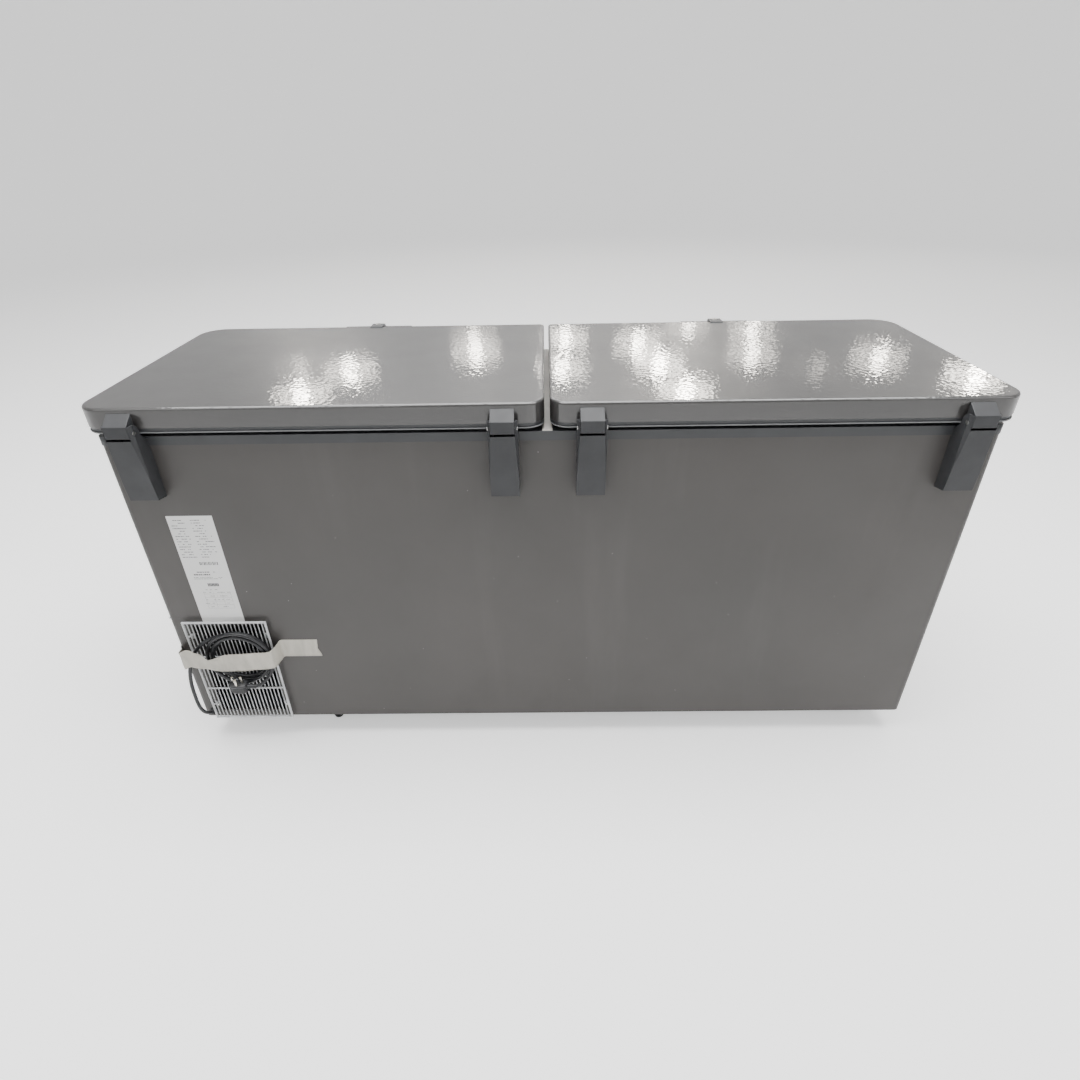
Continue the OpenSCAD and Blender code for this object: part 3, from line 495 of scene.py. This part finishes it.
def add_plug():
    """Moulded plug: a rounded body with grip ribs, and a ribbed boot for the cord."""
    bm = bmesh.new()
    profile = [(-0.0258, 0.72), (-0.0245, 0.88), (-0.0225, 0.96)]
    for i in range(GRIP_RIBS):
        z = -0.0210 + i * GRIP_STEP
        profile += [(z, 0.985), (z + 0.0008, 0.93), (z + 0.0018, 0.93), (z + 0.0026, 0.985)]
    profile += [(-0.0030, 1.0), (-0.0012, 1.0), (-0.0003, 0.97), (0.0, 0.93)]
    skin_rings(bm, [super_ring(bm, PLUG_HALF_X * k, PLUG_HALF_Y * k, z) for z, k in profile])
    boot = [(0.0165, 0.0062)]
    for i in range(BOOT_RIBS):
        x = 0.0185 + i * BOOT_STEP
        boot += [(x, 0.0061 - i * 0.0002), (x + 0.0005, 0.0050), (x + 0.0016, 0.0050)]
    boot += [(0.0365, 0.0052), (0.0372, 0.0046)]
    rings = []
    for x, r in boot:
        rings.append([bm.verts.new((-x, r * math.cos(a), -0.010 + r * math.sin(a)))
                      for a in (2 * math.pi * k / BOOT_SIDES for k in range(BOOT_SIDES))])
    skin_rings(bm, rings)
    mesh = mesh_from("plug", bm)
    mesh.transform(Matrix.Translation(PLUG_AT) @ Matrix.Rotation(PLUG_TILT, 4, "X"))
    return piece("mains_plug", mesh, "black_plastic", replaces=["plug_body"])


RELIEF_TURN = math.radians(-51)
RELIEF_RIBS = 3
RELIEF_STEP = 0.0032
FLANGE_SIDES = 32
FLANGE_ABOVE = 0.018


def add_strain_relief():
    """Ribbed boot that turns upward out of the wall, on a round flange."""
    bm = bmesh.new()
    turn = Matrix.Rotation(RELIEF_TURN, 4, "X")
    start = Vector((EXIT[0], REAR_Y + 0.002, EXIT[2]))
    boot = [(-0.002, 0.0068), (0.002, 0.0068)]
    for i in range(RELIEF_RIBS):
        x = 0.0030 + i * RELIEF_STEP
        boot += [(x, 0.0064 - i * 0.0004), (x + 0.0006, 0.0052), (x + 0.0018, 0.0050)]
    boot += [(0.0124, 0.0053), (0.0130, 0.0047)]
    rings = []
    for z, r in boot:
        rings.append([bm.verts.new(turn @ Vector((r * math.cos(a), r * math.sin(a), z)) + start)
                      for a in (2 * math.pi * k / BOOT_SIDES for k in range(BOOT_SIDES))])
    skin_rings(bm, rings)
    flange = [(0.0001, 0.0088), (0.0026, 0.0088), (0.0036, 0.0080), (0.0039, 0.0066)]
    rings = []
    for y, r in flange:
        rings.append([bm.verts.new((EXIT[0] + r * math.cos(a), REAR_Y + y,
                                    BASE_Z + FLANGE_ABOVE + r * math.sin(a)))
                      for a in (2 * math.pi * k / FLANGE_SIDES for k in range(FLANGE_SIDES))])
    skin_rings(bm, rings)
    return piece("strain_relief", mesh_from("strain_relief", bm), "black_plastic",
                 replaces=["cord_gland"])


# ---------------------------------------------------------------- tape

TAPE_W = 0.048
TAPE_T = 0.00025
# How far the tape tips away from the wall where it leaves the coil, and where
TAPE_LEAN = math.radians(20)
TAPE_LEAN_X = 0.745
TAPE_LEAN_REACH = 0.030
# The tape is free of the wall between these shares of its length
FREE_FROM = 0.22
FREE_TO = 0.86
FREE_RAMP = 12
# The tape lies on the rear wall up to here, then turns the corner
TAPE_WALL_END = 0.826
# The torn ends: how deep and wide their notch is, and how far the top edge falls short
NOTCH_DEPTH = 0.0045
NOTCH_HALF = 0.4
TEAR_SLANT = 0.0040
TEAR_RAMP = 22
TAPE_ROUTE = [
    (0.513, 0.2673, 0.275), (0.560, 0.2673, 0.275), (0.596, 0.2673, 0.275),
    (0.602, 0.281, 0.274), (0.607, 0.294, 0.2715), (0.616, 0.301, 0.2695),
    (0.650, 0.3015, 0.267), (0.686, 0.3015, 0.264), (0.730, 0.3015, 0.262),
    (0.752, 0.305, 0.272), (0.768, 0.313, 0.283), (0.785, 0.315, 0.288),
    (0.800, 0.314, 0.281), (0.808, 0.300, 0.272), (0.816, 0.282, 0.264),
    (0.822, 0.2695, 0.259), (0.827, 0.2646, 0.256), (0.8302, 0.258, 0.254),
    (0.8306, 0.248, 0.252), (0.8304, 0.225, 0.250),
]


def tape_sheet(line):
    """Both faces of the tape along a line, with torn ends and slight waves in its edges."""
    bm = bmesh.new()
    across = 12
    rng = random.Random(5)
    phases = [rng.uniform(0, 6.28) for _ in range(4)]
    grid = []
    count = len(line)
    for i, p in enumerate(line):
        ahead = (line[min(i + 1, count - 1)] - line[max(i - 1, 0)])
        ahead.z = 0
        ahead.normalize()
        out = Vector((-ahead.y, ahead.x, 0))
        s = i / (count - 1)
        row = []
        for k in range(across + 1):
            v = k / across - 0.5
            notch = NOTCH_DEPTH * max(0.0, 1 - abs(v) / NOTCH_HALF)
            tear = notch + TEAR_SLANT * (v + 0.5) + 0.0004 * math.sin(v * 61)
            slip = tear * max(0.0, 1 - s * TEAR_RAMP) - tear * max(0.0, 1 - (1 - s) * TEAR_RAMP)
            free = (min(1.0, max(0.0, (s - FREE_FROM) * FREE_RAMP))
                    * min(1.0, max(0.0, (FREE_TO - s) * FREE_RAMP)))
            ripple = 0.0009 * math.sin(34 * s + phases[0] + 2.2 * v) * abs(2 * v) ** 2
            ripple += 0.0006 * math.sin(71 * s + phases[1] - 5 * v)
            lean = TAPE_LEAN * max(0.0, 1 - abs(p.x - TAPE_LEAN_X) / TAPE_LEAN_REACH)
            rise = (v + 0.5) * TAPE_W
            place = p + ahead * slip + Vector((0, 0, rise * math.cos(lean) - TAPE_W / 2))
            place += out * (0.0004 + 0.0010 * free + ripple * free + rise * math.sin(lean))
            row.append((place, out))
        grid.append(row)
    faces = []
    for offset in (0.0, TAPE_T):
        faces.append([[bm.verts.new(place + out * offset) for place, out in row] for row in grid])
    back, front = faces
    for i in range(count - 1):
        for k in range(across):
            bm.faces.new((front[i][k], front[i + 1][k], front[i + 1][k + 1], front[i][k + 1]))
            bm.faces.new((back[i][k], back[i][k + 1], back[i + 1][k + 1], back[i + 1][k]))
        for k in (0, across):
            bm.faces.new((back[i][k], back[i + 1][k], front[i + 1][k], front[i][k]))
    for i in (0, count - 1):
        for k in range(across):
            bm.faces.new((back[i][k], front[i][k], front[i][k + 1], back[i][k + 1]))
    return mesh_from("tape", bm)


def add_tape():
    """The strip of tape over the coil, from the rear wall round the +X corner."""
    line = smooth_line(TAPE_ROUTE, 5)
    for p in line:
        if p.x < TAPE_WALL_END:
            p.y = max(p.y, REAR_Y + TAPE_T)
    tape = piece("cord_tape_strip", tape_sheet(line), "tape", replaces=["cord_tape"])
    return tape


def add_cord_and_its_pieces():
    cord, length = add_cord()
    plug = add_plug()
    relief = add_strain_relief()
    add_tape()


add_cord_and_its_pieces()


# ---------------------------------------------------------------- rating label print

LABEL_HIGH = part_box("rating_label")[1]
INK_T = 0.00008
TABLE_ROWS = 15
TABLE_TOP = 0.010
TABLE_STEP = 0.0062
TABLE_INK = 0.0015
# A bar code near the middle and a short bold mark under it
CODE_X = 0.036
CODE_BARS = 13
MARK_X = 0.038
MARK_BARS = 8
BAR_STEP = 0.0030
# Lines of print: their two ends, how far below the top, their height and the share inked
PRINT_LINES = [
    (0.024, 0.062, 0.1340, 0.0020, 0.9), (0.016, 0.050, 0.1405, 0.0030, 1.0),
    (0.014, 0.074, 0.1475, 0.0010, 0.8), (0.014, 0.070, 0.1510, 0.0010, 0.7),
    (0.030, 0.060, 0.1790, 0.0010, 0.8),
]
# A ruled grid with small entries at the foot of the label
GRID_ROWS = 5
GRID_TOP = 0.186
GRID_STEP = 0.0095
GRID_X = (0.024, 0.044, 0.062, 0.080)
GRID_FOOT = 0.228
RULE_T = 0.0002


def print_bar(bm, x0, x1, z0, z1):
    """A thin closed block on the label; x runs from the label's +X edge, as read."""
    left = LABEL_HIGH.x - x0
    right = LABEL_HIGH.x - x1
    y = LABEL_HIGH.y + 0.00001
    low = [bm.verts.new(p) for p in ((right, y, z0), (left, y, z0), (left, y, z1), (right, y, z1))]
    top = [bm.verts.new(v.co + Vector((0, INK_T, 0))) for v in low]
    bm.faces.new(list(reversed(low)))
    bm.faces.new(top)
    for i in range(4):
        bm.faces.new((low[i], low[(i + 1) % 4], top[(i + 1) % 4], top[i]))


def dashes(bm, rng, x0, x1, z, height, fill=0.8):
    """A row of short bars of uneven length that stand for a line of print."""
    x = x0
    while x < x1 - 0.001:
        run = min(rng.uniform(0.0015, 0.006), x1 - x)
        if rng.random() < fill:
            print_bar(bm, x, x + run, z - height / 2, z + height / 2)
        x += run + rng.uniform(0.0006, 0.0014)


def add_label_print():
    """Bars that stand for the label's print and spell nothing."""
    rng = random.Random(11)
    bm = bmesh.new()
    top = LABEL_HIGH.z
    for row in range(TABLE_ROWS):
        z = top - TABLE_TOP - row * TABLE_STEP
        dashes(bm, rng, 0.006, rng.uniform(0.026, 0.036), z, TABLE_INK)
        dashes(bm, rng, 0.046, rng.uniform(0.066, 0.084), z, TABLE_INK, 0.7)
    for i in range(CODE_BARS):
        x = CODE_X + i * BAR_STEP
        print_bar(bm, x, x + 0.0018 - (i % 3) * 0.0004, top - 0.1165, top - 0.1090)
    for i in range(MARK_BARS):
        x = MARK_X + i * BAR_STEP
        print_bar(bm, x, x + 0.0022, top - 0.1700, top - 0.1625)
    for x0, x1, drop, height, fill in PRINT_LINES:
        dashes(bm, rng, x0, x1, top - drop, height, fill)
    for row in range(GRID_ROWS):
        z = top - GRID_TOP - row * GRID_STEP
        for _ in range(5):
            x = rng.uniform(0.020, 0.076)
            dashes(bm, rng, x, min(x + rng.uniform(0.003, 0.009), 0.084), z, 0.0009, 0.9)
        print_bar(bm, GRID_X[0], GRID_X[-1], z - 0.0040, z - 0.0040 + RULE_T)
    for x in GRID_X:
        print_bar(bm, x - RULE_T, x, top - GRID_FOOT, top - 0.184)
    obj = piece("label_print", mesh_from("label_print", bm, smooth=False), "paper")
    obj.data.materials.clear()
    obj.data.materials.append(printer_ink())


# ---------------------------------------------------------------- gaskets

GASKET_PROFILE = [
    (-0.0080, 1.00), (-0.0080, 0.80), (-0.0066, 0.66), (-0.0074, 0.50), (-0.0058, 0.34),
    (-0.0070, 0.18), (-0.0060, 0.04), (-0.0030, 0.00), (0.0030, 0.00), (0.0060, 0.04),
    (0.0070, 0.18), (0.0058, 0.34), (0.0074, 0.50), (0.0066, 0.66), (0.0080, 0.80),
    (0.0080, 1.00),
]


def add_gasket(side):
    """Bellows seal: one folded profile led round the lid with mitred corners."""
    low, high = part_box(f"lid_gasket_{side}")
    margin = 0.0081
    bm = bmesh.new()
    corners = ((low.x, low.y, 1, 1), (high.x, low.y, -1, 1), (high.x, high.y, -1, -1),
               (low.x, high.y, 1, -1))
    rings = []
    for x, y, inward_x, inward_y in corners:
        ring = []
        for off, level in GASKET_PROFILE:
            reach = margin + off
            ring.append(bm.verts.new((x + inward_x * reach, y + inward_y * reach,
                                      low.z + 0.0001 + level * (high.z - low.z - 0.0002))))
        rings.append(ring)
    n = len(GASKET_PROFILE)
    for a, b in zip(rings, rings[1:] + rings[:1]):
        for i in range(n):
            bm.faces.new((a[i], a[(i + 1) % n], b[(i + 1) % n], b[i]))
    piece(f"gasket_{side}", mesh_from("gasket", bm, smooth=False), "gasket",
          f"lid_{side}", [f"lid_gasket_{side}"])


# ---------------------------------------------------------------- lid inner pans

def rounded_loop(bm, x0, y0, x1, y1, r, z, steps=8):
    """A ring of vertices on a rectangle with round corners."""
    ring = []
    for cx, cy, start in ((x1 - r, y1 - r, 0), (x0 + r, y1 - r, 90), (x0 + r, y0 + r, 180),
                          (x1 - r, y0 + r, 270)):
        for k in range(steps + 1):
            a = math.radians(start + 90 * k / steps)
            ring.append(bm.verts.new((cx + r * math.cos(a), cy + r * math.sin(a), z)))
    return ring


# Steps of the pan's section: inset from its edge, and drop below the lid's rim
PAN_SECTION = [
    (0.0, 0.0), (0.0004, 0.0008), (0.022, 0.0010), (0.026, 0.0022), (0.032, 0.0058),
    (0.036, 0.0068), (0.074, 0.0068), (0.078, 0.0060), (0.084, 0.0058),
]
PAN_MARGIN = 0.018
PAN_R = 0.05
PAN_R_LEAST = 0.012


def add_lid_pan(side):
    """Vacuum-formed pan on the inside of a lid: a flange, sloped walls and a raised field."""
    low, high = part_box(f"lid_gasket_{side}")
    x0 = low.x + PAN_MARGIN
    x1 = high.x - PAN_MARGIN
    y0 = low.y + PAN_MARGIN
    y1 = high.y - PAN_MARGIN
    rim = high.z
    bm = bmesh.new()
    rings = []
    for inset, drop in PAN_SECTION:
        rings.append(rounded_loop(bm, x0 + inset, y0 + inset, x1 - inset, y1 - inset,
                                  max(PAN_R - inset, PAN_R_LEAST), rim - drop))
    skin_rings(bm, rings)
    piece(f"lid_pan_{side}", mesh_from("lid_pan", bm), "liner_plastic", f"lid_{side}")


# Radius of a lid's corners: outer rear, inner rear, inner front and outer front
LID_RADII = (0.045, 0.035, 0.012, 0.055)
BEAD_R = 0.0013
SEAM_R = 0.0006


def lid_strip(side, name, z, radius, slot):
    """A round strip that follows the outline of a lid at one height, just inside it."""
    low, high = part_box(f"lid_cover_{side}")
    hand = 1 if side == "right" else -1
    inset = radius + 0.0001
    x0 = min(abs(low.x), abs(high.x)) + inset
    x1 = max(abs(low.x), abs(high.x)) - inset
    y0 = low.y + inset
    y1 = high.y - inset
    bm = bmesh.new()
    rings = []
    corners = ((x1, y1, -1, -1), (x0, y1, 1, -1), (x0, y0, 1, 1), (x1, y0, -1, 1))
    for index, (x, y, to_x, to_y) in enumerate(corners):
        r = LID_RADII[index] - inset
        for k in range(9):
            a = math.radians(90 * index + 90 * k / 8)
            away = Vector((hand * math.cos(a), math.sin(a), 0))
            centre = Vector((hand * (x + to_x * r), y + to_y * r, z)) + away * r
            rings.append([bm.verts.new(centre + away * (radius * math.cos(t))
                                       + Vector((0, 0, radius * math.sin(t))))
                          for t in (2 * math.pi * i / 8 for i in range(8))])
    skin_rings(bm, rings + rings[:1], close=False)
    piece(f"{name}_{side}", mesh_from(name, bm), slot, f"lid_{side}")


def add_lid_strips(side):
    """The bead along the lower lip, whose paler grey is partly a painted highlight along the lip's
    edge, and the sealant where the cover meets the rim.
    """
    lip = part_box(f"lid_gasket_{side}")[1].z
    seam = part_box(f"lid_cover_{side}")[0].z
    # The bead is a real lip bead, but its grey, paler than the lid around it, also stands in for
    # the light caught along the lip's edge: a painted highlight.
    lid_strip(side, "lid_bead", lip + BEAD_R + 0.0002, BEAD_R, "gasket")
    lid_strip(side, "lid_seam", seam, SEAM_R, "dark_trim")


# ---------------------------------------------------------------- CAD nodes

# How far the sharp edges of each of these nodes are rounded
EDGE_WIDTHS = [
    ("hinge_housings", 0.0011), ("hinge_leaves_left", 0.0011), ("hinge_leaves_right", 0.0011),
    ("top_collar", 0.0006), ("lid_handle_left", 0.0012), ("lid_handle_right", 0.0012),
    ("thermostat_knob", 0.0006), ("front_panel", 0.0008),
]


def soften(node, width, segments=2, angle=30):
    """Rounds the sharp edges of a CAD node with modifiers."""
    obj = NODES[node]
    weld = obj.modifiers.new("weld", "WELD")
    weld.merge_threshold = 0.00002
    bevel = obj.modifiers.new("round", "BEVEL")
    bevel.width = width
    bevel.segments = segments
    bevel.limit_method = "ANGLE"
    bevel.angle_limit = math.radians(angle)
    bevel.use_clamp_overlap = True
    bevel.harden_normals = False


def finish_nodes():
    """Gives every CAD node its material and rounds the sharp edges that show."""
    for name, obj in NODES.items():
        dress(obj, SLOT_OF[name])
    for node, width in EDGE_WIDTHS:
        soften(node, width)


# ---------------------------------------------------------------- studio

def area_light(name, place, target, size, power, colour=(1, 1, 1)):
    """A flat light that faces its target and stays out of the picture."""
    light = bpy.data.lights.new(name, "AREA")
    light.shape = "RECTANGLE"
    light.size = size[0]
    light.size_y = size[1]
    light.energy = power
    light.color = colour
    obj = bpy.data.objects.new(name, light)
    bpy.context.scene.collection.objects.link(obj)
    obj.location = place
    obj.rotation_euler = (Vector(target) - Vector(place)).to_track_quat("-Z", "Y").to_euler()
    obj.visible_camera = False
    return obj


# Far shop lamps whose glints show in the lids: X, Y and share of the power
LAMP_Z = 3.0
LAMP_COLOUR = (1.0, 0.94, 0.85)
LAMPS = [
    (2.85, -6.0, 1.0), (2.5, -6.9, 0.8), (3.2, -7.1, 0.08), (0.95, -7.6, 0.6), (1.05, -8.4, 0.3),
    (-0.2, -6.9, 0.8), (-0.28, -8.3, 0.8), (-1.3, -8.0, 0.8), (-1.45, -7.0, 1.2),
    (-1.6, -5.95, 1.4), (-3.1, -8.7, 0.5), (-2.75, -7.4, 0.45), (-3.4, -6.8, 0.04),
    (-4.3, -7.1, 0.6), (-5.1, -6.3, 1.4), (-2.2, -9.0, 0.3),
]
LAMP_POWER = 4.2
LAMP_SIZE = (0.20, 0.20)
# A wide faint glow round each lamp, for the sparkle about its glint
GLOW_POWER = 3.4
GLOW_SIZE = (0.70, 0.24)


def ceiling_lamp(name, x, y, size, power):
    """A warm lamp far in front of the freezer, whose glint shows in the lids."""
    place = (x, y, LAMP_Z)
    lamp = area_light(name, place, (0, 0, LID_TOP), size, power, LAMP_COLOUR)
    lamp.data.shape = "ELLIPSE"


BACKDROP_LIFT = 0.55
STAGE_REACH = 12.0
STAGE_CURVE = 3.0
STAGE_TOP = 5.5
WORLD_STRENGTH = 0.58
# Name, place, target, size and power of each large light
STUDIO_LIGHTS = [
    ("key", (2.4, 3.6, 3.4), (0, 0, 0.4), (2.6, 2.0), 36),
    ("fill", (-3.2, 2.4, 2.6), (0, 0, 0.4), (2.6, 2.0), 38),
    ("front", (0.6, -3.8, 3.6), (0, 0, 0.5), (3.0, 2.0), 55),
    ("overhead", (0, 0.25, 3.9), (0, 0.25, 0), (5.0, 2.4), 340),
]


def stage_material():
    """Pale floor, lifted towards white only where the camera sees it directly."""
    s = Shader("studio_floor", 0.9, spec=0.05)
    s.colour(s.mix(s.noise(3.0, 2.0), (0.87, 0.87, 0.87), (0.89, 0.89, 0.89)))
    seen = s.tree.nodes.new("ShaderNodeLightPath").outputs["Is Camera Ray"]
    s.bsdf.inputs["Emission Color"].default_value = (1, 1, 1, 1)
    lift = s.spread(seen, 0.0, 1.0, 0.0, BACKDROP_LIFT)
    s.tree.links.new(lift, s.bsdf.inputs["Emission Strength"])
    return s.material


def add_cove():
    """A round studio floor that curves up into a low wall on every side."""
    flat = STAGE_REACH - STAGE_CURVE
    rings = [(0.01, 0.0), (flat, 0.0)]
    for i in range(1, 9):
        a = math.radians(90 * i / 8)
        rings.append((flat + STAGE_CURVE * math.sin(a), STAGE_CURVE * (1 - math.cos(a))))
    rings.append((STAGE_REACH, STAGE_TOP))
    bm = bmesh.new()
    loops = []
    for r, z in rings:
        loops.append([bm.verts.new((r * math.cos(a), r * math.sin(a), z))
                      for a in (2 * math.pi * k / 96 for k in range(96))])
    for low, high in zip(loops, loops[1:]):
        for k in range(96):
            bm.faces.new((low[k], low[(k + 1) % 96], high[(k + 1) % 96], high[k]))
    bm.faces.new(loops[0])
    cove = bpy.data.objects.new("studio_cove", mesh_from("studio_cove", bm))
    bpy.context.scene.collection.objects.link(cove)
    cove.data.materials.append(stage_material())


def add_studio():
    add_cove()
    world = bpy.data.worlds.new("studio")
    world.use_nodes = True
    world.node_tree.nodes["Background"].inputs["Color"].default_value = (1, 1, 1, 1)
    world.node_tree.nodes["Background"].inputs["Strength"].default_value = WORLD_STRENGTH
    bpy.context.scene.world = world
    for name, place, target, size, power in STUDIO_LIGHTS:
        area_light(name, place, target, size, power)
    for index, (x, y, share) in enumerate(LAMPS):
        ceiling_lamp(f"ceiling_lamp_{index}", x, y, LAMP_SIZE, LAMP_POWER * share)
        ceiling_lamp(f"ceiling_glow_{index}", x, y - 0.05, GLOW_SIZE, GLOW_POWER * share)


add_label_print()
for lid in SIDES:
    add_gasket(lid)
    add_lid_pan(lid)
    add_lid_strips(lid)
finish_nodes()
add_studio()
